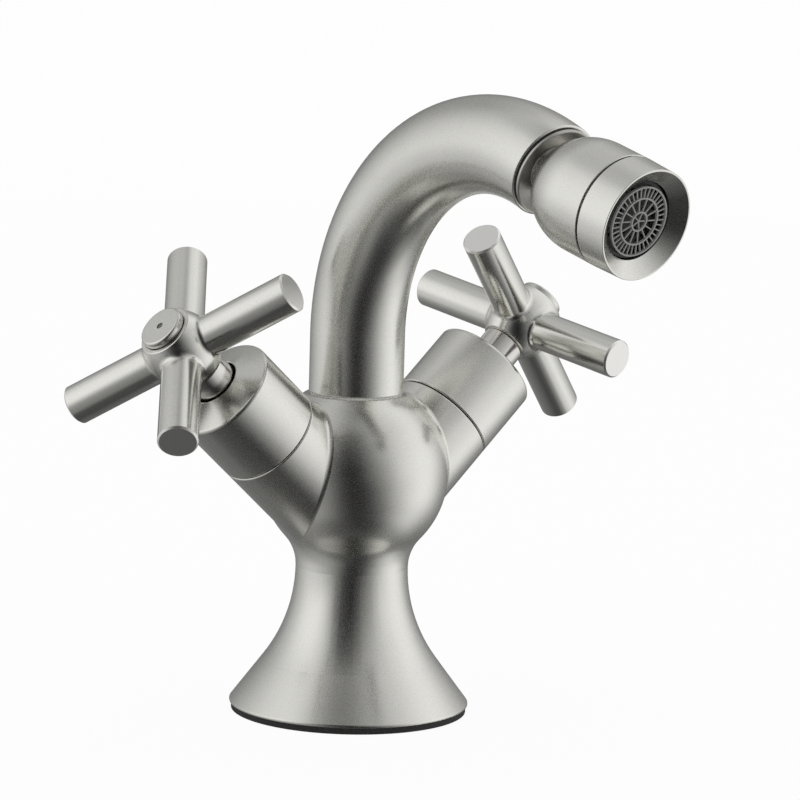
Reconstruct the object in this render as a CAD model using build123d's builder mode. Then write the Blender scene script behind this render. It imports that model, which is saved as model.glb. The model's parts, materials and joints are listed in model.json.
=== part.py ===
from build123d import *
import os
from math import asin, cos, degrees, pi, radians, sin, sqrt, tan

# Bidet mixer with two cross handles, a swivelling spout and a ball-jointed jet.
# All lengths are millimetres. The deck is at z = 0 and the riser stands on the z axis.
# The spout points along -Y, the hot valve leans to -X and the cold valve to +X.
# A valve's heights are counted along its axis, from where both valve axes cross the z axis.

# Clearances that are shared by all pieces
running_gap = 0.05  # radial, round a shaft that turns in its hole
thread_gap = 0.05  # radial, between two threads drawn plain
slide_gap = 0.05  # between flat faces that slide on each other
seal_gap = 0.03  # between a rubber ring and the wall that it seals
overrun = 5.0  # how far a cutting shape runs past the face that it cuts
edge_match = 0.02  # how near a round edge must come to the radius that it is looked up by

# Layout
axes_height = 48.0  # from the deck to the crossing of the valve axes
valve_lean = 48.4  # degrees from upright
hot_handle_turn = 41.0  # degrees, how the hot cross stands on its valve
cold_handle_turn = 14.2

# Body casting
bulb_radius = 23.9
bulb_rise = 13.3  # centre of the bulb above the crossing
body_top_radius = 13.0  # flat top, where the bulb is cut off
body_top_edge = 0.3
neck_radius = 14.3
neck_land = 0.1  # straight part of the neck between the bulb's fillet and the flare
flare_radius = 39.5  # hollow curve below the neck
flare_sweep = 37.0  # degrees of that curve, before it runs out straight to the foot's edge
foot_rim = 0.8  # upright part of the foot's edge
foot_edge = 0.5
foot_wall = 4.0
foot_recess = 2.5  # straight part of the hollow under the foot
boss_radius = 19.0  # solid middle of the foot, which holds the threads
boss_recess = 8.5  # how far the boss stands above the foot's rim
arm_radius = 13.8
arm_clear = 5.0  # straight length of an arm past the bulb
arm_root = 6.5  # where an arm starts inside the bulb
arm_edge = 0.45
crease_fillet = 1.6  # where an arm leaves the bulb
waist_fillet = 11.4  # where the bulb stands on the neck

# Waterways inside the body
inlet_spacing = 15.0
inlet_forward = 3.5  # the inlets stand this far in front of the riser's axis
inlet_thread_radius = 4.5
inlet_thread_depth = 10.0
channel_radius = 3.0
channel_rise = 7.0  # top of a channel above the crossing
port_radius = 3.2
port_start = 9.0  # where a valve's inlet port starts on the valve's axis
mixing_radius = 8.0
mixing_rise = 17.0  # floor of the mixing chamber above the crossing
crossway_radius = 2.2
crossway_rise = 21.4
crossway_overlap = 3.0  # how far a crossway runs into its valve's chamber

# Fixing to the deck
gasket_thickness = 1.5
gasket_inset = 0.5  # the gasket is drawn back from the foot's edge
gasket_width = 3.0
stud_radius = 4.0
stud_back = 8.0  # the stud stands this far behind the riser's axis
stud_hole_depth = 14.0
stud_grip = 13.0  # length of stud inside the body
stud_reach = 45.0  # length of stud below the deck
stud_chamfer = 0.8
deck_thickness = 18.0  # the deck that the clamp is drawn for
clamp_radius = 27.0
clamp_slot_width = 31.0  # lets both hoses pass
clamp_slot_back = 1.5  # how far the slot reaches behind the riser's axis
clamp_slot_corner = 5.0
clamp_hole_gap = 0.4
clamp_rubber_thickness = 2.5
clamp_plate_thickness = 2.0
clamp_corner = 2.0
nut_across_flats = 13.0
nut_height = 6.5
nut_chamfer = 0.6

# Spout
spout_radius = 12.0
spout_wall = 1.6
spout_rise = 14.55  # straight riser above the spout's lower end
spout_bend = 52.4  # radius of the centre line
spout_turn = 113.5  # degrees from the riser to the outlet
spout_end_edge = 0.35
slide_ring_thickness = 0.45
slide_ring_width = 2.2
bush_radius = 9.3
bush_bore = 6.4
bush_socket = 12.0  # length of bush inside the tube
bush_depth = 9.8  # length of bush inside the body
bush_land = 0.9
bush_middle_land = 1.0
spout_cord = 0.72  # cord radius of the spout's O-rings
groove_slack = 0.46  # an O-ring groove is this much higher than its cord
groove_depth = 1.5
swivel_limit = 60.0  # degrees each way
lock_slot_height = 2.4
lock_slot_depth = 1.6
lock_screw_radius = 2.0
lock_tip_radius = 1.05
lock_tip_gap = 0.3
lock_screw_sunk = 0.6
lock_socket_flats = 2.0
lock_socket_depth = 2.5
lock_end_slack = 1.5  # degrees between the screw's tip and the slot's end

# Ball nipple at the spout's end, measured from the tube's end face
nipple_thread_length = 8.0
nipple_sunk = 1.9  # the nipple's shoulder behind the tube's end
end_bore_slack = 0.3  # the tube is bored this much deeper than the nipple reaches
nipple_bore = 4.0
ball_radius = 8.8
ball_ahead = 8.5
ball_flat = 7.0  # the ball's front is cut flat this far past its centre
ball_neck_radius = 5.9
land_radius = 6.4
land_length = 1.5
end_gasket_thickness = 0.4
end_gasket_radius = 11.3
collar_radius = 11.35
collar_front = 1.3
collar_rim = 0.45  # width of the collar's flat rim
collar_edge = 0.2
collar_depth = 1.9  # how deep the collar is dished
collar_web = 1.0  # the collar's thickness at its bore
collar_room = 0.3

# Jet, measured along its own axis from the ball's centre
jet_drop = 15.1  # degrees below level
jet_side = 2.8  # degrees towards the cold side
jet_radius = 14.0
jet_back = 4.6
jet_shoulder = 6.6  # where the rounded back meets the straight side
jet_round = 17.0  # radius of the rounded back
jet_seam = 16.0
jet_lip_thickness = 0.6
jet_mouth = 8.05  # opening that the ball's neck passes through
jet_bore = 9.6
jet_step = 9.2
jet_thread_radius = 12.1
jet_seam_gap = 0.6
jet_edge = 0.2
seat_split = 1.0  # where the two ball seats meet
front_seat_lip = 6.6
lip_radius = 13.7
lip_width = 0.45
lip_edge = 0.15
lip_reach = 25.15
lip_cone_depth = 3.0
aerator_socket_radius = 11.0
aerator_mouth_radius = 9.75
aerator_shoulder = 13.5
washer_thickness = 1.6
washer_bore = 7.0
aerator_gap = 0.1
cup_radius = 9.5
cup_wall = 0.75
cup_front = 21.3
cup_step = 19.4
screen_thickness = 0.5
screen_hole_radius = 0.7
screen_pitch = 2.0
screen_rows = 5
diffuser_thickness = 0.7
diffuser_hole_radius = 0.4
diffuser_ring_count = 3
diffuser_ring_pitch = 1.6
diffuser_hole_pitch = 1.75
grille_recess = 2.45  # the grille's face behind the lip
grille_depth = 0.6
grille_ring_radii = (8.65, 5.9, 2.5)
grille_ring_width = 0.4
grille_rib_width = 0.27
outer_rib_count = 36
inner_rib_count = 14
centre_rib_count = 5
grille_rib_sunk = 0.25

# Valve headwork
chamber_radius = 9.2
chamber_depth = 16.4  # from the arm's end face to the seat
valve_thread_radius = 9.6
valve_thread_length = 6.0
valve_ring_recess = 1.4
valve_ring_room = 10.9
valve_ring_cord = 0.66
valve_ring_neck = 9.0
housing_radius = 8.4
housing_rise = 1.0  # the housing's lower end above the seat
housing_top_radius = 8.6
flange_across_flats = 19.0
flange_height = 4.0
housing_top_height = 9.2  # from the flange to the crown's floor
crown_height = 1.9
crown_bore = 6.3
cavity_radius = 6.6
cavity_top = 10.0  # above the seat
window_width = 5.0
window_height = 3.0
disc_gap = 0.1
fixed_disc_rise = 2.0  # underside above the seat
disc_thickness = 2.5
port_inner = 2.2
port_outer = 5.4
port_spread = 80.0  # degrees
disc_film = 0.03  # water film between the two ceramic discs
seat_seal_width = 1.1

# Spindle
spindle_radius = 4.5
spindle_foot_height = 2.4
lug_width = 3.0
lug_length = 10.5
lug_depth = 1.1
lug_gap = 0.1
stem_ring_cord = 0.6
stem_ring_depth = 1.25
stem_ring_slack = 0.4
stem_ring_rises = (13.5, 17.0)  # above the seat
spline_radius = 3.9
spline_groove_radius = 0.3
spline_count = 20
spline_length = 12.9
stop_thickness = 1.2
stop_outer = 5.9
stop_tab_radius = 8.1
stop_tab_spread = 28.0  # degrees
stop_slack = 2.0  # degrees at each end of the quarter turn
stop_lift = 0.15
clip_thickness = 0.8
clip_outer = 5.2
clip_depth = 0.6
clip_opening = 50.0  # degrees
quarter_turn = 90.0

# Sleeve over the headwork
sleeve_gap = 0.25
sleeve_length = 18.95
sleeve_edge = 1.0
sleeve_foot_edge = 0.35
sleeve_bore = 12.0
sleeve_bore_depth = 5.4
sleeve_roof = 3.4
sleeve_rise = 2.8  # how far the top slopes up from its rim to the stem
mouth_edge = 0.3
stem_room = 0.6  # round the stem collar where it leaves the sleeve

# Stem collar and cross handle
stem_radius = 5.6
stem_show = 8.4  # visible between sleeve and hub
stem_inside = 2.4
stem_edge = 0.5
hub_below = 7.5  # hub's lower face below the arms
hub_above = 7.4
hub_foot_radius = 6.2
hub_middle_radius = 8.9
hub_middle_drop = 0.5
hub_top_radius = 7.0
hub_foot_edge = 0.5
hub_top_edge = 0.35
cross_length = 33.0  # from the valve's axis to an arm's end
cross_radius = 5.0
cross_edge = 0.45
cross_fillet = 1.6
spline_socket = 4.6
spline_end_gap = 0.4  # between the spindle's end and the socket's floor
screw_radius = 2.0
screw_reach = 15.0  # shank below the head
screw_end_gap = 0.6
screw_head_radius = 3.9
screw_head_height = 2.6
screw_socket_flats = 2.5
screw_socket_depth = 1.5
screw_web = 4.8
screw_well_radius = 4.3
screw_well_depth = 2.9
cap_radius = 5.8
cap_height = 2.8
cap_edge = 0.6
cap_proud = 2.0
cap_room = 0.3
cap_spigot_radius = 4.7
cap_spigot_length = 1.5
mark_radius = 0.85
mark_depth = 0.5
mark_sunk = 0.2

# Places worked out from the sizes above
crossing = Vector(0, 0, axes_height)
bulb_height = axes_height + bulb_rise
body_top = bulb_height + sqrt(bulb_radius**2 - body_top_radius**2)
foot_bottom = gasket_thickness
boss_bottom = foot_bottom + boss_recess
waist_out = neck_radius + waist_fillet
waist_height = bulb_height - sqrt((bulb_radius + waist_fillet) ** 2 - waist_out**2)
neck_height = waist_height - neck_land
flare_arc = radians(flare_sweep)
flare_end = (neck_radius + flare_radius * (1 - cos(flare_arc)), neck_height - flare_radius * sin(flare_arc))
foot_top = foot_bottom + foot_rim
foot_radius = flare_end[0] + (flare_end[1] - foot_top) * tan(flare_arc)
lean = radians(valve_lean)
arm_leaves = bulb_rise * cos(lean) + sqrt(bulb_radius**2 - (arm_radius - bulb_rise * sin(lean)) ** 2)
arm_length = arm_leaves + arm_clear
seat_height = arm_length - chamber_depth
crossway_reach = (seat_height - crossway_rise * cos(lean)) / sin(lean) + crossway_overlap
thread_low = arm_length - valve_ring_recess - valve_thread_length
thread_high = arm_length - valve_ring_recess
sleeve_low = arm_length + sleeve_gap
sleeve_high = sleeve_low + sleeve_length
hub_low = sleeve_high + stem_show
cross_height = hub_low + hub_below
hub_high = cross_height + hub_above
spout_low = body_top + slide_ring_thickness + slide_gap
bush_low = body_top - bush_depth
bend_height = spout_low + spout_rise
spout_bore = spout_radius - spout_wall
bend = radians(spout_turn)
spout_end = Vector(0, spout_bend * (cos(bend) - 1), bend_height + spout_bend * sin(bend))
spout_end_way = Vector(0, -sin(bend), cos(bend))
ball_centre = spout_end + spout_end_way * ball_ahead
jet_way = Vector(
    sin(radians(jet_side)) * cos(radians(jet_drop)),
    -cos(radians(jet_side)) * cos(radians(jet_drop)),
    -sin(radians(jet_drop)),
)


def upright_plane(origin, way, across):
    """A plane whose own Y runs along way, for outlines of (radius, height) points."""
    return Plane(origin=origin, x_dir=across, z_dir=across.cross(way))


def valve_way(side):
    """The outward direction of the valve axis on the given side, -1 for hot and 1 for cold."""
    return Vector(side * sin(lean), 0, cos(lean))


def valve_plane(side):
    """The upright plane through a valve's axis, with its origin at the crossing."""
    return upright_plane(crossing, valve_way(side), Vector(cos(lean), 0, -valve_way(side).X))


def valve_section(side, height):
    """A plane square to a valve's axis. Its own X points to the back of the mixer."""
    way = valve_way(side)
    return Plane(origin=crossing + way * height, x_dir=(0, 1, 0), z_dir=way)


def turn(plane, points, mode=Mode.ADD):
    """Turns a closed outline of (radius, height) points about the plane's own Y."""
    with BuildSketch(plane) as outline:
        with BuildLine():
            Polyline(*points, close=True)
        make_face()
    revolve(outline.sketch, axis=Axis(plane.origin, plane.y_dir), mode=mode)


def turn_cord(plane, radius, height, cord):
    """Turns a round section into an O-ring."""
    with BuildSketch(plane) as section:
        with Locations((radius, height)):
            Circle(cord)
    revolve(section.sketch, axis=Axis(plane.origin, plane.y_dir))


def sector(inner, outer, middle, spread):
    """A ring sector, centred on the angle middle and spread degrees wide."""
    with BuildSketch() as face:
        with BuildLine():
            inside = CenterArc((0, 0), inner, middle - spread / 2, spread)
            outside = CenterArc((0, 0), outer, middle - spread / 2, spread)
            Line(inside @ 0, outside @ 0)
            Line(inside @ 1, outside @ 1)
        make_face()
    return face.sketch


def rims(piece, *radii):
    """The round edges of a piece that have one of the given radii."""
    round_edges = piece.edges().filter_by(GeomType.CIRCLE)
    return round_edges.filter_by(
        lambda edge: any(abs(edge.radius - radius) < edge_match for radius in radii)
    )


def save(piece, name):
    """Labels a finished piece and writes it."""
    piece.part.label = name
    export_step(piece.part, f"parts/{name}.step")


os.makedirs("parts", exist_ok=True)
riser_plane = Plane.XZ
end_plane = upright_plane(spout_end, spout_end_way, Vector(1, 0, 0))
jet_across = Vector(0, 0, 1).cross(jet_way).normalized()
jet_plane = upright_plane(ball_centre, jet_way, jet_across)


# Body casting: bulb, two valve arms, neck and flared foot
lock_height = body_top - bush_land - lock_slot_height / 2
lock_plane = Plane(origin=(0, 0, lock_height), x_dir=(1, 0, 0), z_dir=(0, 1, 0))
with BuildPart() as mixer_body:
    with Locations((0, 0, bulb_height)):
        Sphere(bulb_radius)
    split(bisect_by=Plane.XY.offset(body_top), keep=Keep.BOTTOM)
    for side in (-1, 1):
        with BuildSketch(valve_section(side, arm_root)):
            Circle(arm_radius)
        extrude(amount=arm_length - arm_root)
    creases = mixer_body.edges().filter_by(GeomType.BSPLINE)
    fillet(creases, radius=crease_fillet)
    with BuildSketch(riser_plane):
        with BuildLine():
            bottom = Line((0, foot_bottom), (foot_radius, foot_bottom))
            rim = Line(bottom @ 1, (foot_radius, foot_top))
            skirt = Line(rim @ 1, flare_end)
            flare_middle = (
                neck_radius + flare_radius * (1 - cos(flare_arc / 2)),
                neck_height - flare_radius * sin(flare_arc / 2),
            )
            flare = ThreePointArc(skirt @ 1, flare_middle, (neck_radius, neck_height))
            neck = Line(flare @ 1, (neck_radius, axes_height))
            Polyline(neck @ 1, (0, axes_height), bottom @ 0)
        make_face()
    revolve(axis=Axis.Z)
    waist = rims(mixer_body, neck_radius).filter_by_position(Axis.Z, neck_height + overrun / 2, axes_height)
    fillet(waist, radius=waist_fillet)
    fillet(rims(mixer_body, foot_radius), radius=foot_edge)
    top_edge = mixer_body.edges().filter_by(GeomType.CIRCLE).filter_by_position(Axis.Z, body_top, body_top)
    fillet(top_edge, radius=body_top_edge)
    for side in (-1, 1):
        end_face = mixer_body.faces().sort_by(Axis(crossing, valve_way(side)))[-1]
        fillet(end_face.edges(), radius=arm_edge)

    # Hollow foot, inlet threads, channels and the stud's hole
    turn(
        riser_plane,
        [
            (0, foot_bottom - overrun),
            (foot_radius - foot_wall, foot_bottom - overrun),
            (foot_radius - foot_wall, foot_bottom + foot_recess),
            (boss_radius, boss_bottom),
            (0, boss_bottom),
        ],
        mode=Mode.SUBTRACT,
    )
    for side in (-1, 1):
        inlet = (side * inlet_spacing / 2, -inlet_forward)
        with BuildSketch(Plane.XY.offset(boss_bottom)):
            with Locations(inlet):
                Circle(inlet_thread_radius)
        extrude(amount=inlet_thread_depth, mode=Mode.SUBTRACT)
        with BuildSketch(Plane.XY.offset(boss_bottom)):
            with Locations(inlet):
                Circle(channel_radius)
        extrude(amount=axes_height + channel_rise - boss_bottom, mode=Mode.SUBTRACT)
        turn(
            valve_plane(side),
            [
                (0, port_start),
                (port_radius, port_start),
                (port_radius, seat_height),
                (chamber_radius, seat_height),
                (chamber_radius, thread_low),
                (valve_thread_radius + thread_gap, thread_low),
                (valve_thread_radius + thread_gap, thread_high),
                (valve_ring_room, thread_high),
                (valve_ring_room, arm_length + overrun),
                (0, arm_length + overrun),
            ],
            mode=Mode.SUBTRACT,
        )
    with BuildSketch(Plane.XY.offset(boss_bottom)):
        with Locations((0, stud_back)):
            Circle(stud_radius + thread_gap)
    extrude(amount=stud_hole_depth, mode=Mode.SUBTRACT)

    # Spout bore, mixing chamber, the way across from each valve and the lock screw's hole
    turn(
        riser_plane,
        [
            (0, axes_height + mixing_rise),
            (mixing_radius, axes_height + mixing_rise),
            (mixing_radius, bush_low),
            (bush_radius + running_gap, bush_low),
            (bush_radius + running_gap, body_top + overrun),
            (0, body_top + overrun),
        ],
        mode=Mode.SUBTRACT,
    )
    with BuildSketch(Plane.YZ):
        with Locations((0, axes_height + crossway_rise)):
            Circle(crossway_radius)
    extrude(amount=crossway_reach, both=True, mode=Mode.SUBTRACT)
    with BuildSketch(lock_plane):
        Circle(lock_screw_radius + thread_gap)
    extrude(amount=bulb_radius + overrun, mode=Mode.SUBTRACT)
save(mixer_body, "mixer_body")

# Grub screw in the back of the body, whose tip runs in the spout bush's slot
bulb_reach = sqrt(bulb_radius**2 - (lock_height - bulb_height) ** 2)
slot_floor = bush_radius - lock_slot_depth
with BuildPart() as spout_lock_screw:
    with BuildSketch(lock_plane.offset(bush_radius)):
        Circle(lock_screw_radius)
    extrude(amount=bulb_reach - lock_screw_sunk - bush_radius)
    with BuildSketch(lock_plane.offset(slot_floor + lock_tip_gap)):
        Circle(lock_tip_radius)
    extrude(amount=bush_radius - slot_floor)
    with BuildSketch(lock_plane.offset(bulb_reach - lock_screw_sunk - lock_socket_depth)):
        RegularPolygon(lock_socket_flats / 2, side_count=6, major_radius=False)
    extrude(amount=lock_socket_depth, mode=Mode.SUBTRACT)
save(spout_lock_screw, "spout_lock_screw")

# Gasket under the foot
gasket_outer = foot_radius - gasket_inset
with BuildPart() as base_gasket:
    with BuildSketch():
        Circle(gasket_outer)
        Circle(gasket_outer - gasket_width, mode=Mode.SUBTRACT)
    extrude(amount=gasket_thickness)
save(base_gasket, "base_gasket")

# Stud, rubber and steel clamp plates and nut below the deck
with BuildPart() as fixing_stud:
    with BuildSketch(Plane.XY.offset(-stud_reach)):
        with Locations((0, stud_back)):
            Circle(stud_radius)
    extrude(amount=stud_reach + boss_bottom + stud_grip)
    chamfer(fixing_stud.edges(), length=stud_chamfer)
save(fixing_stud, "fixing_stud")


def clamp_shape():
    """Horseshoe outline that lets the hoses pass in front of the stud."""
    with BuildSketch() as shape:
        Circle(clamp_radius)
        slot_length = clamp_radius + clamp_slot_back + overrun
        with Locations((0, clamp_slot_back - slot_length / 2)):
            RectangleRounded(clamp_slot_width, slot_length, clamp_slot_corner, mode=Mode.SUBTRACT)
        fillet(shape.vertices().sort_by(Axis.Y)[:2], radius=clamp_corner)
        with Locations((0, stud_back)):
            Circle(stud_radius + clamp_hole_gap, mode=Mode.SUBTRACT)
    return shape.sketch


clamp_rubber_low = -deck_thickness - clamp_rubber_thickness
clamp_plate_low = clamp_rubber_low - clamp_plate_thickness
with BuildPart() as clamp_rubber:
    with BuildSketch(Plane.XY.offset(clamp_rubber_low)):
        add(clamp_shape())
    extrude(amount=clamp_rubber_thickness)
save(clamp_rubber, "clamp_rubber")

with BuildPart() as clamp_plate:
    with BuildSketch(Plane.XY.offset(clamp_plate_low)):
        add(clamp_shape())
    extrude(amount=clamp_plate_thickness)
save(clamp_plate, "clamp_plate")

with BuildPart() as fixing_nut:
    with BuildSketch(Plane.XY.offset(clamp_plate_low - nut_height)):
        with Locations((0, stud_back)):
            RegularPolygon(nut_across_flats / 2, side_count=6, major_radius=False)
            Circle(stud_radius + thread_gap, mode=Mode.SUBTRACT)
    extrude(amount=nut_height)
    chamfer(fixing_nut.faces().sort_by(Axis.Z)[0].inner_wires()[0].edges(), length=nut_chamfer)
save(fixing_nut, "fixing_nut")

# Spout tube: a straight riser and one large bend
with BuildPart() as spout_tube:
    with BuildLine() as spout_line:
        riser = Line((0, 0, spout_low), (0, 0, bend_height))
        half_bend = bend / 2
        bend_middle = (0, spout_bend * (cos(half_bend) - 1), bend_height + spout_bend * sin(half_bend))
        ThreePointArc(riser @ 1, bend_middle, spout_end)
    with BuildSketch(Plane.XY.offset(spout_low)):
        Circle(spout_radius)
        Circle(spout_bore, mode=Mode.SUBTRACT)
    sweep(path=spout_line.line)
    tube_rims = rims(spout_tube, spout_radius).sort_by(Axis.Z)
    fillet([tube_rims[0], tube_rims.sort_by(Axis.Y)[0]], radius=spout_end_edge)
    # the bent end is bored straight, to take the nipple
    with BuildSketch(Plane(origin=spout_end, x_dir=(1, 0, 0), z_dir=spout_end_way)):
        Circle(spout_bore)
    extrude(amount=-nipple_sunk - nipple_thread_length - end_bore_slack, mode=Mode.SUBTRACT)
save(spout_tube, "spout_tube")

# Bush in the spout's foot: it turns in the body, with a slot for the lock screw and two O-rings
ring_groove_height = 2 * spout_cord + groove_slack
lock_slot_low = body_top - bush_land - lock_slot_height
first_groove = lock_slot_low - bush_middle_land - ring_groove_height
second_groove = first_groove - bush_land - ring_groove_height
tip_spread = degrees(asin(lock_tip_radius / slot_floor))
slot_spread = 2 * (swivel_limit + tip_spread + lock_end_slack)
with BuildPart() as spout_bush:
    turn(
        riser_plane,
        [
            (bush_bore, bush_low),
            (bush_radius, bush_low),
            (bush_radius, spout_low),
            (spout_bore - thread_gap, spout_low),
            (spout_bore - thread_gap, spout_low + bush_socket),
            (bush_bore, spout_low + bush_socket),
        ],
    )
    for groove_low in (first_groove, second_groove):
        turn(
            riser_plane,
            [
                (bush_radius - groove_depth, groove_low),
                (bush_radius + overrun, groove_low),
                (bush_radius + overrun, groove_low + ring_groove_height),
                (bush_radius - groove_depth, groove_low + ring_groove_height),
            ],
            mode=Mode.SUBTRACT,
        )
    with BuildSketch(Plane.XY.offset(lock_slot_low)):
        add(sector(slot_floor, bush_radius + overrun, quarter_turn, slot_spread))
    extrude(amount=lock_slot_height, mode=Mode.SUBTRACT)
save(spout_bush, "spout_bush")

with BuildPart() as spout_o_rings:
    for groove_low in (first_groove, second_groove):
        ring_centre = bush_radius + running_gap - seal_gap - spout_cord
        turn_cord(riser_plane, ring_centre, groove_low + ring_groove_height / 2, spout_cord)
save(spout_o_rings, "spout_o_rings")

slide_ring_outer = bush_radius + running_gap + slide_ring_width
with BuildPart() as spout_slide_ring:
    with BuildSketch(Plane.XY.offset(body_top)):
        Circle(slide_ring_outer)
        Circle(bush_radius + running_gap, mode=Mode.SUBTRACT)
    extrude(amount=slide_ring_thickness)
save(spout_slide_ring, "spout_slide_ring")

# Ball nipple screwed into the spout's end
neck_edge = ball_ahead - sqrt(ball_radius**2 - ball_neck_radius**2)
ball_front_radius = sqrt(ball_radius**2 - ball_flat**2)
with BuildPart() as ball_nipple:
    with BuildSketch(end_plane):
        with BuildLine():
            shank = Polyline(
                (nipple_bore, -nipple_sunk - nipple_thread_length),
                (spout_bore - thread_gap, -nipple_sunk - nipple_thread_length),
                (spout_bore - thread_gap, -nipple_sunk),
                (land_radius, -nipple_sunk),
                (land_radius, land_length - nipple_sunk),
                (ball_neck_radius, land_length - nipple_sunk),
                (ball_neck_radius, neck_edge),
            )
            ball = ThreePointArc(
                shank @ 1, (ball_radius, ball_ahead), (ball_front_radius, ball_ahead + ball_flat)
            )
            Polyline(ball @ 1, (nipple_bore, ball_ahead + ball_flat), shank @ 0)
        make_face()
    revolve(axis=Axis(spout_end, spout_end_way))
save(ball_nipple, "ball_nipple")

with BuildPart() as spout_end_gasket:
    turn(
        end_plane,
        [
            (spout_bore, 0),
            (end_gasket_radius, 0),
            (end_gasket_radius, end_gasket_thickness),
            (spout_bore, end_gasket_thickness),
        ],
    )
save(spout_end_gasket, "spout_end_gasket")

# Loose dished collar that turns on the nipple behind the jet
collar_bore = land_radius + running_gap
collar_floor = collar_front - collar_depth
with BuildPart() as jet_collar:
    turn(
        end_plane,
        [
            (collar_bore, collar_floor - collar_web),
            (spout_bore - collar_room, collar_floor - collar_web),
            (spout_bore - collar_room, end_gasket_thickness + slide_gap),
            (collar_radius, end_gasket_thickness + slide_gap),
            (collar_radius, collar_front),
            (collar_radius - collar_rim, collar_front),
            (collar_bore, collar_floor),
        ],
    )
    fillet(rims(jet_collar, collar_radius), radius=collar_edge)
save(jet_collar, "jet_collar")

# Jet housing: rounded shell that grips the ball from behind
back_radius = jet_radius - jet_round + sqrt(jet_round**2 - (jet_shoulder + jet_back) ** 2)
half_round = asin((jet_shoulder + jet_back) / jet_round) / 2
round_middle = (
    jet_radius - jet_round * (1 - cos(half_round)),
    jet_shoulder - jet_round * sin(half_round),
)
lip_back = -jet_back + jet_lip_thickness
socket_edge = sqrt(jet_bore**2 - lip_back**2)
half_socket = asin(-lip_back / jet_bore) / 2
socket_middle = (jet_bore * cos(half_socket), -jet_bore * sin(half_socket))
with BuildPart() as jet_housing:
    with BuildSketch(jet_plane):
        with BuildLine():
            back = Line((jet_mouth, -jet_back), (back_radius, -jet_back))
            shell = ThreePointArc(back @ 1, round_middle, (jet_radius, jet_shoulder))
            wall = Polyline(
                shell @ 1,
                (jet_radius, jet_seam),
                (jet_thread_radius + thread_gap, jet_seam),
                (jet_thread_radius + thread_gap, jet_step),
                (jet_bore, jet_step),
                (jet_bore, 0),
            )
            socket = ThreePointArc(wall @ 1, socket_middle, (socket_edge, lip_back))
            Polyline(socket @ 1, (jet_mouth, lip_back), back @ 0)
        make_face()
    revolve(axis=Axis(ball_centre, jet_way))
    shell_rims = rims(jet_housing, jet_radius, back_radius).sort_by(Axis(ball_centre, jet_way))
    fillet([shell_rims[0], shell_rims[-1]], radius=jet_edge)
save(jet_housing, "jet_housing")

# Plastic seats behind and in front of the ball
seat_inner = ball_radius + running_gap
seat_outer = jet_bore - running_gap
lining_back = lip_back + running_gap
with BuildPart() as rear_ball_seat:
    with BuildSketch(jet_plane):
        with BuildLine():
            seat_front = Line((seat_inner, seat_split), (seat_outer, seat_split))
            seat_wall = Line(seat_front @ 1, (seat_outer, 0))
            half_lining = asin(-lining_back / seat_outer) / 2
            outer_arc = ThreePointArc(
                seat_wall @ 1,
                (seat_outer * cos(half_lining), -seat_outer * sin(half_lining)),
                (sqrt(seat_outer**2 - lining_back**2), lining_back),
            )
            seat_back = Line(outer_arc @ 1, (sqrt(seat_inner**2 - lining_back**2), lining_back))
            half_inner = asin(-lining_back / seat_inner) / 2
            inner_arc = ThreePointArc(
                seat_back @ 1,
                (seat_inner * cos(half_inner), -seat_inner * sin(half_inner)),
                (seat_inner, 0),
            )
            Line(inner_arc @ 1, seat_front @ 0)
        make_face()
    revolve(axis=Axis(ball_centre, jet_way))
save(rear_ball_seat, "rear_ball_seat")

front_seat_back = seat_split + slide_gap
front_lip_radius = sqrt(seat_inner**2 - front_seat_lip**2)
front_middle = (front_seat_back + front_seat_lip) / 2
with BuildPart() as front_ball_seat:
    with BuildSketch(jet_plane):
        with BuildLine():
            cup_arc = ThreePointArc(
                (sqrt(seat_inner**2 - front_seat_back**2), front_seat_back),
                (sqrt(seat_inner**2 - front_middle**2), front_middle),
                (front_lip_radius, front_seat_lip),
            )
            Polyline(
                cup_arc @ 1,
                (front_lip_radius, jet_step),
                (seat_outer, jet_step),
                (seat_outer, front_seat_back),
                cup_arc @ 0,
            )
        make_face()
    revolve(axis=Axis(ball_centre, jet_way))
save(front_ball_seat, "front_ball_seat")

# Jet sleeve: the front shell with its thin lip and the cone inside it
sleeve_back = jet_step + aerator_gap
cone_floor = lip_reach - lip_cone_depth
flange_back = jet_seam + jet_seam_gap
with BuildPart() as jet_sleeve:
    turn(
        jet_plane,
        [
            (aerator_socket_radius, sleeve_back),
            (jet_thread_radius, sleeve_back),
            (jet_thread_radius, flange_back),
            (jet_radius, flange_back),
            (lip_radius, lip_reach),
            (lip_radius - lip_width, lip_reach),
            (aerator_mouth_radius, cone_floor),
            (aerator_mouth_radius, aerator_shoulder),
            (aerator_socket_radius, aerator_shoulder),
        ],
    )
    fillet(rims(jet_sleeve, lip_radius, lip_radius - lip_width, jet_radius), radius=lip_edge)
save(jet_sleeve, "jet_sleeve")

# Aerator, from its washer to the grille
washer_low = sleeve_back
washer_high = washer_low + washer_thickness
socket_fit = aerator_socket_radius - aerator_gap
with BuildPart() as aerator_washer:
    turn(
        jet_plane,
        [
            (washer_bore, washer_low),
            (socket_fit, washer_low),
            (socket_fit, washer_high),
            (washer_bore, washer_high),
        ],
    )
save(aerator_washer, "aerator_washer")

cup_bore = cup_radius - cup_wall
screen_low = washer_high + screen_thickness
diffuser_low = cup_step - diffuser_thickness
with BuildPart() as aerator_cup:
    turn(
        jet_plane,
        [
            (cup_bore - cup_wall, washer_high + aerator_gap),
            (socket_fit, washer_high + aerator_gap),
            (socket_fit, aerator_shoulder - aerator_gap),
            (cup_radius, aerator_shoulder - aerator_gap),
            (cup_radius, cup_front),
            (cup_bore, cup_front),
            (cup_bore, diffuser_low),
            (cup_bore - cup_wall, diffuser_low),
        ],
    )
save(aerator_cup, "aerator_cup")

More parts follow.
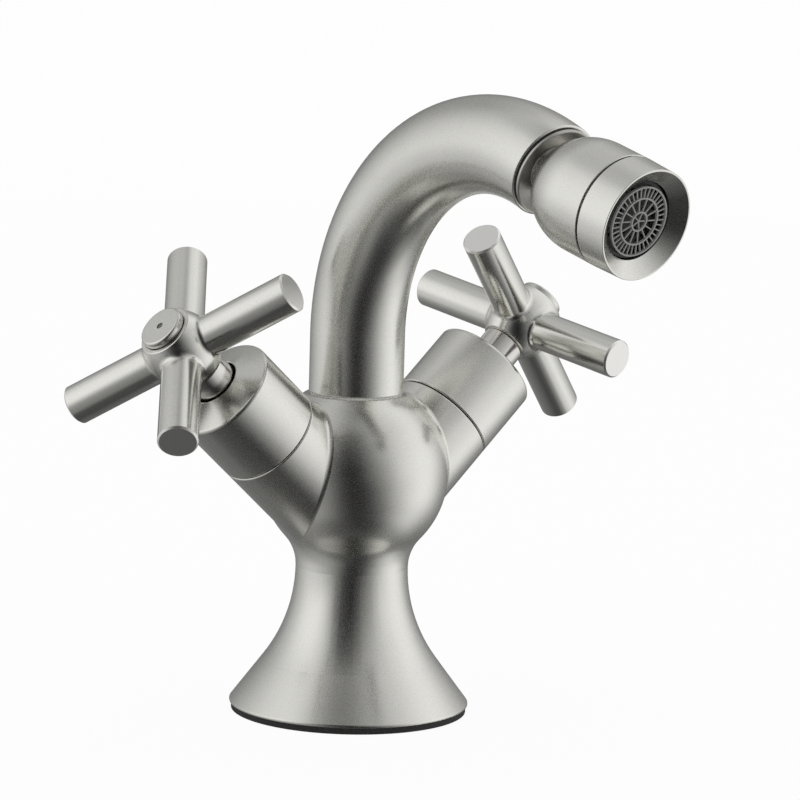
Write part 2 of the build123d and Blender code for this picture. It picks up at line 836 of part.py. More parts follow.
screen_radius = cup_bore - cup_wall - aerator_gap
with BuildPart() as aerator_screen:
    with BuildSketch(Plane(origin=ball_centre + jet_way * screen_low, x_dir=jet_across, z_dir=jet_way)):
        Circle(screen_radius)
        with HexLocations(screen_pitch / 2, screen_rows, screen_rows):
            Circle(screen_hole_radius, mode=Mode.SUBTRACT)
    extrude(amount=screen_thickness)
save(aerator_screen, "aerator_screen")

with BuildPart() as aerator_diffuser:
    with BuildSketch(Plane(origin=ball_centre + jet_way * diffuser_low, x_dir=jet_across, z_dir=jet_way)):
        Circle(cup_bore - aerator_gap)
        for ring_number in range(diffuser_ring_count):
            ring_radius = cup_bore - aerator_gap - (ring_number + 1) * diffuser_ring_pitch
            hole_count = round(2 * pi * ring_radius / diffuser_hole_pitch)
            with PolarLocations(ring_radius, hole_count):
                Circle(diffuser_hole_radius, mode=Mode.SUBTRACT)
    extrude(amount=diffuser_thickness)
save(aerator_diffuser, "aerator_diffuser")

grille_back = lip_reach - grille_recess - grille_depth
with BuildPart() as aerator_grille:
    with BuildSketch(Plane(origin=ball_centre + jet_way * grille_back, x_dir=jet_across, z_dir=jet_way)):
        for ring_radius in grille_ring_radii:
            with BuildSketch(mode=Mode.PRIVATE) as ring:
                Circle(ring_radius)
                Circle(ring_radius - grille_ring_width, mode=Mode.SUBTRACT)
            add(ring.sketch)
    extrude(amount=grille_depth)
    with BuildSketch(Plane(origin=ball_centre + jet_way * grille_back, x_dir=jet_across, z_dir=jet_way)):
        rib_counts = (outer_rib_count, inner_rib_count, centre_rib_count)
        inner_ends = (*grille_ring_radii[1:], 0)
        for rib_count, outer_end, inner_end in zip(rib_counts, grille_ring_radii, inner_ends):
            rib_outer = outer_end - grille_ring_width / 2
            rib_inner = max(inner_end - grille_ring_width / 2, 0)
            with PolarLocations((rib_outer + rib_inner) / 2, rib_count):
                Rectangle(rib_outer - rib_inner, grille_rib_width)
    extrude(amount=grille_depth - grille_rib_sunk)
save(aerator_grille, "aerator_grille")


def make_valve(name, side, handle_turn, opening):
    """One valve with its sleeve and cross handle. Opening is 1 or -1, the way that it turns open."""
    plane = valve_plane(side)
    way = valve_way(side)
    web_low = hub_low + spline_socket
    web_high = web_low + screw_web
    spindle_high = web_low - spline_end_gap
    screw_low = web_high - screw_reach

    # Rubber seal on the seat and the two ceramic discs
    with BuildPart() as seat_seal:
        seal_outer = cavity_radius - disc_gap
        turn(
            plane,
            [
                (seal_outer - seat_seal_width, seat_height),
                (seal_outer, seat_height),
                (seal_outer, seat_height + fixed_disc_rise),
                (seal_outer - seat_seal_width, seat_height + fixed_disc_rise),
            ],
        )
    save(seat_seal, f"{name}_seat_seal")

    fixed_disc_low = seat_height + fixed_disc_rise
    turning_disc_low = fixed_disc_low + disc_thickness + disc_film
    with BuildPart() as fixed_disc:
        with BuildSketch(valve_section(side, fixed_disc_low)):
            Circle(cavity_radius - disc_gap)
            for middle in (0, 2 * quarter_turn):
                add(sector(port_inner, port_outer, middle, port_spread), mode=Mode.SUBTRACT)
        extrude(amount=disc_thickness)
    save(fixed_disc, f"{name}_fixed_disc")

    spindle_low = turning_disc_low + disc_thickness + slide_gap
    with BuildPart() as turning_disc:
        with BuildSketch(valve_section(side, turning_disc_low)):
            Circle(cavity_radius - disc_gap)
            for middle in (quarter_turn, 3 * quarter_turn):
                add(sector(port_inner, port_outer + overrun, middle, port_spread), mode=Mode.SUBTRACT)
        extrude(amount=disc_thickness)
        with BuildSketch(valve_section(side, spindle_low - slide_gap - lug_depth - lug_gap)):
            Rectangle(lug_length + 2 * lug_gap, lug_width + 2 * lug_gap)
        extrude(amount=lug_depth + lug_gap, mode=Mode.SUBTRACT)
    save(turning_disc, f"{name}_turning_disc")

    # Headwork housing, screwed into the arm, with windows for the water and a crown for the stop
    flange_high = arm_length + flange_height
    crown_floor = flange_high + housing_top_height
    cavity_high = seat_height + cavity_top
    with BuildPart() as valve_housing:
        turn(
            plane,
            [
                (cavity_radius, seat_height + housing_rise),
                (housing_radius, seat_height + housing_rise),
                (housing_radius, thread_low),
                (valve_thread_radius, thread_low),
                (valve_thread_radius, thread_high),
                (valve_ring_neck, thread_high),
                (valve_ring_neck, arm_length),
                (housing_top_radius, arm_length),
                (housing_top_radius, crown_floor + crown_height),
                (crown_bore, crown_floor + crown_height),
                (crown_bore, crown_floor),
                (spindle_radius + running_gap, crown_floor),
                (spindle_radius + running_gap, cavity_high),
                (cavity_radius, cavity_high),
            ],
        )
        with BuildSketch(valve_section(side, arm_length)):
            RegularPolygon(flange_across_flats / 2, side_count=6, major_radius=False)
            Circle(housing_top_radius - thread_gap, mode=Mode.SUBTRACT)
        extrude(amount=flange_height)
        with BuildSketch(valve_section(side, turning_disc_low)):
            Rectangle(window_width, 2 * (housing_radius + overrun))
        extrude(amount=window_height, mode=Mode.SUBTRACT)
        notch_spread = quarter_turn + stop_tab_spread + 2 * stop_slack
        with BuildSketch(valve_section(side, crown_floor)):
            notch_outer = housing_top_radius + overrun
            notch_middle = opening * quarter_turn / 2
            add(sector(crown_bore - overrun / 2, notch_outer, notch_middle, notch_spread))
        extrude(amount=crown_height + overrun, mode=Mode.SUBTRACT)
    save(valve_housing, f"{name}_valve_housing")

    with BuildPart() as housing_o_ring:
        ring_radius = (valve_ring_neck + valve_ring_room) / 2
        turn_cord(plane, ring_radius, arm_length - valve_ring_recess / 2, valve_ring_cord)
    save(housing_o_ring, f"{name}_housing_o_ring")

    # Spindle, its O-rings, stop washer and clip
    stop_low = crown_floor + stop_lift
    clip_low = stop_low + stop_thickness + stop_lift
    with BuildPart() as spindle:
        turn(
            plane,
            [
                (0, spindle_low),
                (cavity_radius - disc_gap, spindle_low),
                (cavity_radius - disc_gap, spindle_low + spindle_foot_height),
                (spindle_radius, spindle_low + spindle_foot_height),
                (spindle_radius, stop_low),
                (spline_radius, stop_low),
                (spline_radius, clip_low),
                (spline_radius - clip_depth, clip_low),
                (spline_radius - clip_depth, clip_low + clip_thickness),
                (spline_radius, clip_low + clip_thickness),
                (spline_radius, spindle_high),
                (0, spindle_high),
            ],
        )
        for ring_rise in stem_ring_rises:
            ring_height = seat_height + ring_rise
            half_groove = stem_ring_cord + stem_ring_slack / 2
            turn(
                plane,
                [
                    (spindle_radius - stem_ring_depth, ring_height - half_groove),
                    (spindle_radius + overrun, ring_height - half_groove),
                    (spindle_radius + overrun, ring_height + half_groove),
                    (spindle_radius - stem_ring_depth, ring_height + half_groove),
                ],
                mode=Mode.SUBTRACT,
            )
        with BuildSketch(valve_section(side, spindle_high - spline_length)):
            with PolarLocations(spline_radius, spline_count):
                Circle(spline_groove_radius)
        extrude(amount=spline_length, mode=Mode.SUBTRACT)
        with BuildSketch(valve_section(side, spindle_low)):
            Rectangle(lug_length, lug_width)
        extrude(amount=-lug_depth)
        with BuildSketch(valve_section(side, spindle_high)):
            Circle(screw_radius + thread_gap)
        extrude(amount=screw_low - screw_end_gap - spindle_high, mode=Mode.SUBTRACT)
    save(spindle, f"{name}_spindle")

    with BuildPart() as spindle_o_rings:
        for ring_rise in stem_ring_rises:
            ring_centre = spindle_radius + running_gap - seal_gap - stem_ring_cord
            turn_cord(plane, ring_centre, seat_height + ring_rise, stem_ring_cord)
    save(spindle_o_rings, f"{name}_spindle_o_rings")

    with BuildPart() as stop_washer:
        with BuildSketch(valve_section(side, stop_low)):
            Circle(stop_outer)
            add(sector(spline_radius, stop_tab_radius, 0, stop_tab_spread))
            Circle(spline_radius + thread_gap, mode=Mode.SUBTRACT)
        extrude(amount=stop_thickness)
    save(stop_washer, f"{name}_stop_washer")

    with BuildPart() as spindle_clip:
        with BuildSketch(valve_section(side, clip_low)):
            clip_inner = spline_radius - clip_depth
            full_turn = 4 * quarter_turn
            add(sector(clip_inner, clip_outer, 2 * quarter_turn, full_turn - clip_opening))
        extrude(amount=clip_thickness)
    save(spindle_clip, f"{name}_spindle_clip")

    # Sleeve that hides the headwork
    sleeve_mouth = stem_radius + stem_room
    with BuildPart() as valve_sleeve:
        turn(
            plane,
            [
                (sleeve_bore, sleeve_low),
                (arm_radius, sleeve_low),
                (arm_radius, sleeve_high),
                (sleeve_mouth, sleeve_high + sleeve_rise),
                (sleeve_mouth, sleeve_high - sleeve_roof),
                (housing_top_radius + thread_gap, sleeve_high - sleeve_roof),
                (housing_top_radius + thread_gap, sleeve_low + sleeve_bore_depth),
                (sleeve_bore, sleeve_low + sleeve_bore_depth),
            ],
        )
        fillet(rims(valve_sleeve, arm_radius).sort_by(Axis(crossing, way))[-1], radius=sleeve_edge)
        fillet(rims(valve_sleeve, arm_radius).sort_by(Axis(crossing, way))[0], radius=sleeve_foot_edge)
        fillet(rims(valve_sleeve, sleeve_mouth).sort_by(Axis(crossing, way))[-1], radius=mouth_edge)
    save(valve_sleeve, f"{name}_valve_sleeve")

    # Stem collar between sleeve and hub
    stem_low = sleeve_high - stem_inside
    with BuildPart() as stem_collar:
        turn(
            plane,
            [
                (spline_radius + thread_gap, stem_low),
                (stem_radius, stem_low),
                (stem_radius, hub_low),
                (spline_radius + thread_gap, hub_low),
            ],
        )
        fillet(rims(stem_collar, stem_radius), radius=stem_edge)
    save(stem_collar, f"{name}_stem_collar")

    # Cross handle: a barrel hub with two round bars through it
    well_high = web_high + screw_well_depth
    cap_floor = hub_high + cap_proud - cap_height - slide_gap
    with BuildPart() as cross_handle:
        with BuildSketch(plane):
            with BuildLine():
                hub_foot = Line((0, hub_low), (hub_foot_radius, hub_low))
                barrel = ThreePointArc(
                    hub_foot @ 1,
                    (hub_middle_radius, cross_height - hub_middle_drop),
                    (hub_top_radius, hub_high),
                )
                Polyline(barrel @ 1, (0, hub_high), hub_foot @ 0)
            make_face()
        revolve(axis=Axis(crossing, way))
        middle = valve_section(side, cross_height)
        for bar_turn in (handle_turn, handle_turn + quarter_turn):
            bar_way = middle.x_dir * cos(radians(bar_turn)) + middle.y_dir * sin(radians(bar_turn))
            with BuildSketch(Plane(origin=middle.origin, x_dir=way, z_dir=bar_way)):
                Circle(cross_radius)
            extrude(amount=cross_length, both=True)
        bar_ends = cross_handle.edges().filter_by(GeomType.CIRCLE).filter_by(
            lambda edge: (edge.center() - middle.origin).length > cross_length - cross_radius
        )
        chamfer(bar_ends, length=cross_edge)
        creases = cross_handle.edges().filter_by(GeomType.BSPLINE)
        fillet(creases, radius=cross_fillet)
        hub_top = cross_handle.faces().sort_by(Axis(crossing, way))[-1]
        hub_bottom = cross_handle.edges().filter_by(GeomType.CIRCLE).sort_by(Axis(crossing, way))[0]
        fillet(hub_bottom, radius=hub_foot_edge)
        fillet(hub_top.edges(), radius=hub_top_edge)
        turn(
            plane,
            [
                (0, hub_low - overrun),
                (spline_radius + thread_gap, hub_low - overrun),
                (spline_radius + thread_gap, web_low),
                (screw_radius + thread_gap, web_low),
                (screw_radius + thread_gap, web_high),
                (screw_well_radius, web_high),
                (screw_well_radius, well_high),
                (cap_spigot_radius + thread_gap, well_high),
                (cap_spigot_radius + thread_gap, cap_floor),
                (cap_radius + cap_room, cap_floor),
                (cap_radius + cap_room, hub_high + overrun),
                (0, hub_high + overrun),
            ],
            mode=Mode.SUBTRACT,
        )
    save(cross_handle, f"{name}_cross_handle")

    with BuildPart() as handle_screw:
        turn(
            plane,
            [
                (0, screw_low),
                (screw_radius, screw_low),
                (screw_radius, web_high),
                (screw_head_radius, web_high),
                (screw_head_radius, web_high + screw_head_height),
                (0, web_high + screw_head_height),
            ],
        )
        with BuildSketch(valve_section(side, web_high + screw_head_height)):
            RegularPolygon(screw_socket_flats / 2, side_count=6, major_radius=False)
        extrude(amount=-screw_socket_depth, mode=Mode.SUBTRACT)
    save(handle_screw, f"{name}_handle_screw")

    # Cap with a small mark sunk into its middle
    cap_low = cap_floor + slide_gap
    cap_high = cap_low + cap_height
    mark_plane = valve_section(side, cap_high - mark_depth)
    with BuildPart() as handle_cap:
        turn(
            plane,
            [
                (0, cap_low - cap_spigot_length),
                (cap_spigot_radius, cap_low - cap_spigot_length),
                (cap_spigot_radius, cap_low),
                (cap_radius, cap_low),
                (cap_radius, cap_high),
                (0, cap_high),
            ],
        )
        fillet(handle_cap.edges().sort_by(Axis(crossing, way))[-1], radius=cap_edge)
        with BuildSketch(mark_plane):
            Circle(mark_radius + thread_gap)
        extrude(amount=mark_depth + overrun, mode=Mode.SUBTRACT)
    save(handle_cap, f"{name}_handle_cap")

    with BuildPart() as cap_mark:
        with BuildSketch(mark_plane):
            Circle(mark_radius)
        extrude(amount=mark_depth - mark_sunk)
    save(cap_mark, f"{name}_cap_mark")


make_valve("hot", -1, hot_handle_turn, 1)
make_valve("cold", 1, cold_handle_turn, -1)
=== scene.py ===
import json
import math

import bmesh
import bpy
from mathutils import Matrix, Vector

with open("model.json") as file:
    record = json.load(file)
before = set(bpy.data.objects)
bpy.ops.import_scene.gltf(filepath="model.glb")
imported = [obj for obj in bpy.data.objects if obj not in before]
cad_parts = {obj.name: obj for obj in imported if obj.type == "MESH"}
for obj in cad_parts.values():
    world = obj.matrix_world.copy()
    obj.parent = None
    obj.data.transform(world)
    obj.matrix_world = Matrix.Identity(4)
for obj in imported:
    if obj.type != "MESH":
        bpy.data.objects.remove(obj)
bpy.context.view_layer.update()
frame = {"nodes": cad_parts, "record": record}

# The bidet mixer's looks. Lengths are in metres, in the same frame as the CAD.


# Node helpers

def new_material(name):
    """A material with nodes, and its node tree."""
    material = bpy.data.materials.new(name)
    material.use_nodes = True
    return material, material.node_tree


def feed(tree, socket, value):
    """Links a socket to another one, or sets it to a plain value."""
    if isinstance(value, bpy.types.NodeSocket):
        tree.links.new(value, socket)
    else:
        socket.default_value = value


def math_node(tree, operation, *values, clamp=False):
    """A Math node's result. Each value is a socket or a number."""
    node = tree.nodes.new("ShaderNodeMath")
    node.operation = operation
    node.use_clamp = clamp
    for socket, value in zip(node.inputs, values):
        feed(tree, socket, value)
    return node.outputs["Value"]


def vector_node(tree, operation, *values):
    """The outputs of a Vector Math node. Each value is a socket or a vector."""
    node = tree.nodes.new("ShaderNodeVectorMath")
    node.operation = operation
    for socket, value in zip(node.inputs, values):
        feed(tree, socket, value)
    return node.outputs


def spread(tree, value, start, end, low, high, interpolation="LINEAR"):
    """Maps a value from start..end to low..high."""
    node = tree.nodes.new("ShaderNodeMapRange")
    node.interpolation_type = interpolation
    node.inputs["From Min"].default_value = start
    node.inputs["From Max"].default_value = end
    node.inputs["To Min"].default_value = low
    node.inputs["To Max"].default_value = high
    tree.links.new(value, node.inputs["Value"])
    return node.outputs["Result"]


def blend_colours(tree, factor, first, second):
    """A colour between two colours. Each of these is a socket or four numbers."""
    node = tree.nodes.new("ShaderNodeMix")
    node.data_type = "RGBA"
    feed(tree, node.inputs["A"], first)
    feed(tree, node.inputs["B"], second)
    tree.links.new(factor, node.inputs["Factor"])
    return node.outputs["Result"]


def object_coords(tree):
    """Where a point lies on its piece, which is in the shared frame at rest."""
    return tree.nodes.new("ShaderNodeTexCoord").outputs["Object"]


# Materials. Fine grain makes the relief, and with some coarse grain the colour and the roughness.

GRAIN_DETAIL = 3.0
FINE_HARSHNESS = 0.6
COARSE_HARSHNESS = 0.5
COARSE_CELL = 40  # the coarse grain's cell, in cells of the fine grain
FINE_SHARE = 0.7
COARSE_SHARE = 0.3
GRAIN_LOW = 0.3  # the grain's usual lowest and highest values
GRAIN_HIGH = 0.7
RELIEF_STRENGTH = 0.5


def noise(tree, coords, scale, harshness):
    """A noise texture's value, in cells per metre."""
    node = tree.nodes.new("ShaderNodeTexNoise")
    node.inputs["Scale"].default_value = scale
    node.inputs["Detail"].default_value = GRAIN_DETAIL
    node.inputs["Roughness"].default_value = harshness
    tree.links.new(coords, node.inputs["Vector"])
    return node.outputs["Fac"]


def surface(name, dark, light, metallic, smooth, rough, grain_scale, relief_depth):
    """A grained surface: its colour, roughness and relief all vary from place to place."""
    material, tree = new_material(name)
    shader = tree.nodes["Principled BSDF"]
    coords = object_coords(tree)
    fine = noise(tree, coords, grain_scale, FINE_HARSHNESS)
    coarse = noise(tree, coords, grain_scale / COARSE_CELL, COARSE_HARSHNESS)
    fine_part = math_node(tree, "MULTIPLY", fine, FINE_SHARE)
    coarse_part = math_node(tree, "MULTIPLY", coarse, COARSE_SHARE)
    grain = math_node(tree, "ADD", fine_part, coarse_part)
    lightness = spread(tree, grain, GRAIN_LOW, GRAIN_HIGH, 0, 1)
    colour = blend_colours(tree, lightness, (*dark, 1), (*light, 1))
    roughness = spread(tree, grain, GRAIN_LOW, GRAIN_HIGH, smooth, rough)
    tree.links.new(colour, shader.inputs["Base Color"])
    tree.links.new(roughness, shader.inputs["Roughness"])
    shader.inputs["Metallic"].default_value = metallic
    relief = tree.nodes.new("ShaderNodeBump")
    relief.inputs["Strength"].default_value = RELIEF_STRENGTH
    relief.inputs["Distance"].default_value = relief_depth
    tree.links.new(fine, relief.inputs["Height"])
    tree.links.new(relief.outputs["Normal"], shader.inputs["Normal"])
    return material


# One finish for each of the record's material slots, and two for pieces with a finish of their own:
# dark and light colour, metallic, smoothest and roughest, fine grain's cells per metre, relief's depth.
FINISHES = {
    "satin_nickel": ((0.74, 0.735, 0.695), (0.89, 0.885, 0.84), 1, 0.20, 0.31, 2400, 0.000006),
    "bright_nickel": ((0.74, 0.72, 0.69), (0.80, 0.78, 0.75), 1, 0.12, 0.18, 2500, 0.000004),
    "bare_brass": ((0.66, 0.49, 0.24), (0.80, 0.63, 0.34), 1, 0.22, 0.34, 1500, 0.00001),
    "steel": ((0.50, 0.50, 0.49), (0.64, 0.64, 0.63), 1, 0.24, 0.38, 1800, 0.00001),
    "rubber": ((0.012, 0.012, 0.012), (0.03, 0.03, 0.03), 0, 0.65, 0.85, 1500, 0.00003),
    "white_plastic": ((0.74, 0.74, 0.71), (0.84, 0.84, 0.81), 0, 0.35, 0.5, 900, 0.00001),
    "dark_plastic": ((0.008, 0.008, 0.008), (0.02, 0.02, 0.02), 0, 0.35, 0.5, 1500, 0.00001),
    "grey_plastic": ((0.22, 0.22, 0.215), (0.34, 0.34, 0.33), 0, 0.25, 0.38, 1500, 0.00001),
    "ceramic": ((0.84, 0.82, 0.78), (0.92, 0.90, 0.87), 0, 0.12, 0.2, 1200, 0.000004),
    "hot_mark": ((0.09, 0.09, 0.075), (0.15, 0.15, 0.13), 0, 0.25, 0.4, 1500, 0.00001),
    "cold_mark": ((0.05, 0.065, 0.10), (0.08, 0.10, 0.14), 0, 0.25, 0.4, 1500, 0.00001),
    # The jet collar's finish is a darker copy of the satin nickel; the darkness is painted shade from
    # the jet housing, and only the extra roughness is real.
    "satin_nickel_collar_painted_shade": ((0.50, 0.49, 0.46), (0.62, 0.61, 0.58), 1, 0.26, 0.36, 2400, 0.00001),
    "satin_nickel_handles": ((0.76, 0.755, 0.715), (0.88, 0.875, 0.83), 1, 0.15, 0.25, 2400, 0.000006),
}
MATERIALS = {name: surface(name, *finish) for name, finish in FINISHES.items()}

# The handles have the body's plating on a smoother ground, and the jet's collar a rougher one, whose
# darker colour is painted shade.
OWN_FINISH = {
    "hot_cross_handle": "satin_nickel_handles",
    "cold_cross_handle": "satin_nickel_handles",
    "jet_collar": "satin_nickel_collar_painted_shade",
}

# The flat ends of the handles' arms are duller, and their colour is made lighter as a painted
# highlight.
HUB_CENTRE = (0.0542, 0, 0.0961)  # the cold handle's, and the hot handle's has x the other way
ARM_END = 0.0329  # from the hub's centre
END_DULLNESS = 0.18
# The arms' end faces get this lighter colour as a painted highlight, not as the plating's own colour.
END_PAINTED_HIGHLIGHT_COLOUR = (0.97, 0.965, 0.94, 1)


def dull_ends_with_painted_highlight(material):
    """Roughens what lies further than ARM_END from a handle's centre, and lightens its colour there as
    a painted highlight.
    """
    tree = material.node_tree
    shader = tree.nodes["Principled BSDF"]
    roughness = shader.inputs["Roughness"].links[0].from_socket
    colour = shader.inputs["Base Color"].links[0].from_socket
    folded = vector_node(tree, "ABSOLUTE", object_coords(tree))["Vector"]
    away = vector_node(tree, "DISTANCE", folded, HUB_CENTRE)["Value"]
    at_end = math_node(tree, "GREATER_THAN", away, ARM_END)
    end_roughness = math_node(tree, "MULTIPLY_ADD", at_end, END_DULLNESS, roughness)
    # Painted highlight: the arm ends' colour is blended towards the light end colour.
    end_highlight_colour = blend_colours(tree, at_end, colour, END_PAINTED_HIGHLIGHT_COLOUR)
    tree.links.new(end_roughness, shader.inputs["Roughness"])
    tree.links.new(end_highlight_colour, shader.inputs["Base Color"])


dull_ends_with_painted_highlight(MATERIALS["satin_nickel_handles"])

for subpart in frame["record"]["subparts"]:
    finish = OWN_FINISH.get(subpart["node"], subpart["material_slot"])
    for slot in frame["nodes"][subpart["node"]].material_slots:
        slot.material = MATERIALS[finish]


# Camera, at the photograph's angle

CROSSING = Vector((0, 0, 0.048))  # where both valve axes meet the riser's axis
CAMERA_AZIMUTH = math.radians(-38.9)
CAMERA_ELEVATION = math.radians(8.55)
ROLL = math.radians(1.555)
CAMERA_DISTANCE = 1.0276
AIM_RIGHT = 0.012012  # the view's centre, from the crossing
AIM_UP = 0.031291
FOCAL_PIXELS = 4041.5
PHOTO_PIXELS = 800
NEAREST_SEEN = 0.01

back = Vector((
    math.sin(CAMERA_AZIMUTH) * math.cos(CAMERA_ELEVATION),
    -math.cos(CAMERA_AZIMUTH) * math.cos(CAMERA_ELEVATION),
    math.sin(CAMERA_ELEVATION),
))
level_right = Vector((math.cos(CAMERA_AZIMUTH), math.sin(CAMERA_AZIMUTH), 0))
level_up = back.cross(level_right)
right = level_right * math.cos(ROLL) + level_up * math.sin(ROLL)
up = level_up * math.cos(ROLL) - level_right * math.sin(ROLL)
eye = CROSSING + right * AIM_RIGHT + up * AIM_UP + back * CAMERA_DISTANCE
camera_data = bpy.data.cameras.new("photo_camera")
camera_data.sensor_fit = "HORIZONTAL"
camera_data.lens = camera_data.sensor_width * FOCAL_PIXELS / PHOTO_PIXELS
camera_data.clip_start = NEAREST_SEEN
camera = bpy.data.objects.new("photo_camera", camera_data)
camera.matrix_world = Matrix.Translation(eye) @ Matrix((right, up, back)).transposed().to_4x4()
bpy.context.scene.collection.objects.link(camera)
bpy.context.scene.camera = camera


# Studio: a pale floor, white surroundings, and a tent that only the object's reflections show

WHITE = (1, 1, 1, 1)
FLOOR_SIZE = 6.0
FLOOR_COLOUR = (0.9, 0.9, 0.9, 1)
FLOOR_ROUGHNESS = 0.8
FLOOR_WHITE = 0.94  # how much of the floor is plain white where it is seen
ROOM_LIGHT = 0.85


def stage_object(name, bm, material):
    """Adds a drawn mesh that isn't part of the object."""
    mesh = bpy.data.meshes.new(name)
    bm.to_mesh(mesh)
    bm.free()
    mesh.materials.append(material)
    piece = bpy.data.objects.new(name, mesh)
    bpy.context.scene.collection.objects.link(piece)
    return piece


def whiten(tree, lit, white, share, output):
    """Shows the camera, mirrors and clear pieces a share of plain white, and the rest what is lit."""
    path = tree.nodes.new("ShaderNodeLightPath").outputs
    seen = math_node(tree, "ADD", path["Is Camera Ray"], path["Is Glossy Ray"], clamp=True)
    seen = math_node(tree, "ADD", seen, path["Is Transmission Ray"], clamp=True)
    mix = tree.nodes.new("ShaderNodeMixShader")
    factor, first, second = mix.inputs
    tree.links.new(math_node(tree, "MULTIPLY", seen, share), factor)
    tree.links.new(lit, first)
    tree.links.new(white, second)
    tree.links.new(mix.outputs["Shader"], output.inputs["Surface"])


floor_material, tree = new_material("pale_floor")
floor_shader = tree.nodes["Principled BSDF"]
floor_shader.inputs["Base Color"].default_value = FLOOR_COLOUR
floor_shader.inputs["Roughness"].default_value = FLOOR_ROUGHNESS
plain = tree.nodes.new("ShaderNodeEmission").outputs["Emission"]
whiten(tree, floor_shader.outputs["BSDF"], plain, FLOOR_WHITE, tree.nodes["Material Output"])
bm = bmesh.new()
bmesh.ops.create_grid(bm, x_segments=1, y_segments=1, size=FLOOR_SIZE)
floor = stage_object("floor", bm, floor_material)
floor.visible_glossy = False  # the tent is what the metal mirrors, below as well

world = bpy.data.worlds.new("studio")
world.use_nodes = True
bpy.context.scene.world = world
tree = world.node_tree
room = tree.nodes["Background"]
room.inputs["Color"].default_value = WHITE
room.inputs["Strength"].default_value = ROOM_LIGHT
plain = tree.nodes.new("ShaderNodeBackground")
plain.inputs["Color"].default_value = WHITE
plain.inputs["Strength"].default_value = 1
world_output = tree.nodes["World Output"]
whiten(tree, room.outputs["Background"], plain.outputs["Background"], 1, world_output)


# The tent, a sphere of soft light with a dark front

TENT_CENTRE = Vector((0, -0.03, 0.09))
TENT_RADIUS = 1.3
TENT_SEGMENTS = 96
TENT_RINGS = 48
MIDDLE = 0.5  # of both scales: towards the photographer, and level with the tent's centre

# Each band is an elevation in degrees with the light's levels round the tent, each at an angle
# in degrees from the photographer, where minus is left.
BANDS = (
    (-90, ((0, 0.06),)),
    (-75, ((-180, 0.10), (-90, 0.10), (0, 0.05), (90, 0.09), (180, 0.10))),
    (-60, (
        (-180, 0.12), (-145, 0.10), (-110, 0.22), (-80, 0.22), (-50, 0.12), (-20, 0.05), (15, 0.02),
        (45, 0.04), (70, 0.22), (95, 0.30), (120, 0.18), (150, 0.10), (180, 0.12),
    )),
    (-42, (
        (-180, 0.12), (-155, 0.13), (-120, 0.26), (-90, 0.38), (-60, 0.40), (-32, 0.20), (-12, 0.02),
        (20, 0.02), (42, 0.12), (60, 0.36), (80, 0.68), (100, 0.78), (118, 0.44), (140, 0.16),
        (180, 0.12),
    )),
    (-20, (
        (-180, 0.14), (-150, 0.28), (-125, 0.42), (-98, 0.66), (-75, 0.58), (-50, 0.36), (-30, 0.18),
        (-12, 0.01), (20, 0.01), (42, 0.24), (62, 0.60), (85, 0.94), (102, 0.98), (117, 0.80),
        (135, 0.32), (160, 0.17), (180, 0.14),
    )),
    (8, (
        (-180, 0.16), (-155, 0.22), (-135, 0.40), (-110, 0.70), (-90, 0.93), (-60, 0.98), (-47, 0.72),
        (-37, 0.30), (-24, 0.05), (-8, 0.01), (6, 0.01), (16, 0.08), (32, 0.27), (46, 0.41),
        (58, 0.72), (75, 0.86), (95, 0.98), (115, 0.93), (135, 0.60), (155, 0.30), (180, 0.16),
    )),
    (28, (
        (-180, 0.32), (-155, 0.30), (-130, 0.46), (-105, 0.77), (-80, 0.95), (-55, 0.87), (-42, 0.53),
        (-30, 0.17), (-18, 0.03), (0, 0.02), (20, 0.16), (44, 0.52), (65, 0.71), (95, 0.93),
        (120, 0.93), (140, 0.56), (160, 0.36), (180, 0.32),
    )),
    (48, (
        (-180, 0.46), (-150, 0.28), (-122, 0.56), (-95, 0.76), (-70, 0.90), (-50, 0.62), (-30, 0.12),
        (-5, 0.06), (12, 0.16), (28, 0.38), (50, 0.56), (80, 0.72), (110, 0.88), (140, 0.90),
        (165, 0.56), (180, 0.46),
    )),
    (66, (
        (-180, 0.60), (-120, 0.52), (-60, 0.50), (-20, 0.25), (10, 0.26), (40, 0.50), (70, 0.62),
        (100, 0.80), (145, 0.84), (180, 0.60),
    )),
    (90, ((0, 0.20),)),
)

tent_material, tree = new_material("studio_tent")
tree.nodes.remove(tree.nodes["Principled BSDF"])
position = tree.nodes.new("ShaderNodeNewGeometry").outputs["Position"]
from_centre = vector_node(tree, "SUBTRACT", position, TENT_CENTRE)["Vector"]
outward = vector_node(tree, "NORMALIZE", from_centre)["Vector"]


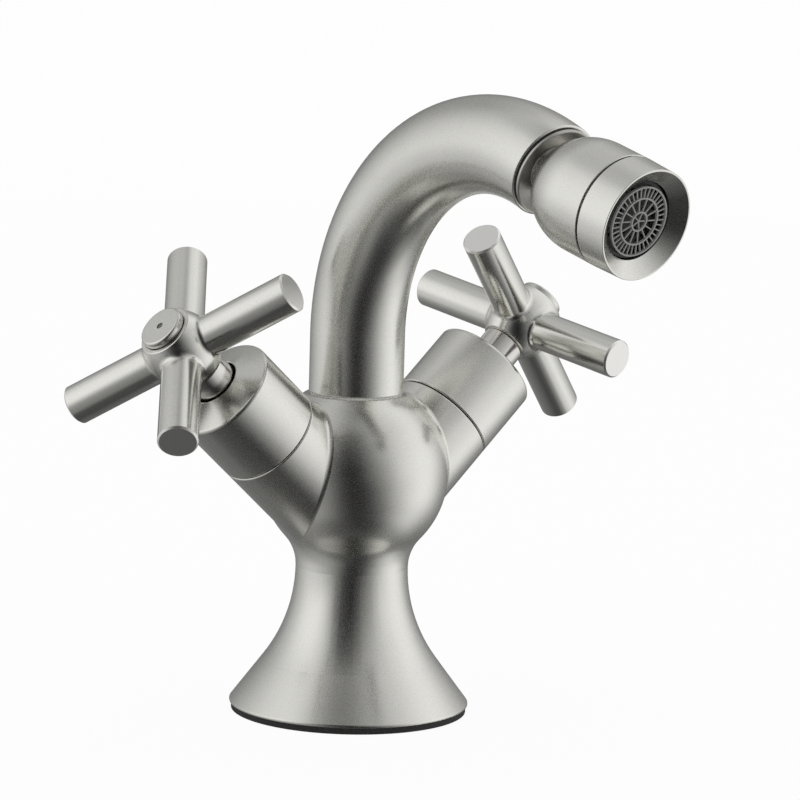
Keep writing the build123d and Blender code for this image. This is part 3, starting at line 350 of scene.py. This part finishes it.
def along(direction):
    """How far the tent's point lies along a direction, as a share of its distance."""
    return vector_node(tree, "DOT_PRODUCT", outward, direction)["Value"]


def ramp(stops):
    """The light's level round the tent, from stops at angles in degrees."""
    node = tree.nodes.new("ShaderNodeValToRGB")
    node.color_ramp.interpolation = "B_SPLINE"
    elements = node.color_ramp.elements
    while len(elements) > len(stops):
        elements.remove(elements[-1])
    while len(elements) < len(stops):
        elements.new(MIDDLE)
    for element, (angle, brightness) in zip(elements, stops):
        element.position = MIDDLE + angle / 360
        element.color = (brightness, brightness, brightness, 1)
    tree.links.new(turn, node.inputs["Fac"])
    return node.outputs["Color"]


# Both scales run from 0 to 1, the turn once round the tent and the rise from its bottom to its top.
level_back = Vector((back.x, back.y, 0)).normalized()
turn = math_node(tree, "ARCTAN2", along(level_right), along(level_back))
turn = math_node(tree, "MULTIPLY_ADD", turn, 1 / math.tau, MIDDLE)
rise = math_node(tree, "ARCSINE", along(Vector((0, 0, 1))))
rise = math_node(tree, "MULTIPLY_ADD", rise, 1 / math.pi, MIDDLE)

level = ramp(BANDS[0][1])
for (low, _), (high, stops) in zip(BANDS, BANDS[1:]):
    share = spread(tree, rise, MIDDLE + low / 180, MIDDLE + high / 180, 0, 1, "SMOOTHSTEP")
    change = math_node(tree, "SUBTRACT", ramp(stops), level)
    level = math_node(tree, "MULTIPLY_ADD", change, share, level)
glow = tree.nodes.new("ShaderNodeEmission")
tree.links.new(level, glow.inputs["Color"])
tree.links.new(glow.outputs["Emission"], tree.nodes["Material Output"].inputs["Surface"])
tent_material.cycles.emission_sampling = "NONE"

bm = bmesh.new()
bmesh.ops.create_uvsphere(bm, u_segments=TENT_SEGMENTS, v_segments=TENT_RINGS, radius=TENT_RADIUS)
bmesh.ops.translate(bm, verts=bm.verts, vec=TENT_CENTRE)
tent = stage_object("studio_tent", bm, tent_material)
tent.visible_camera = False
tent.visible_diffuse = False
tent.visible_transmission = False
tent.visible_volume_scatter = False
tent.visible_shadow = False

bpy.context.scene.view_settings.view_transform = "Standard"
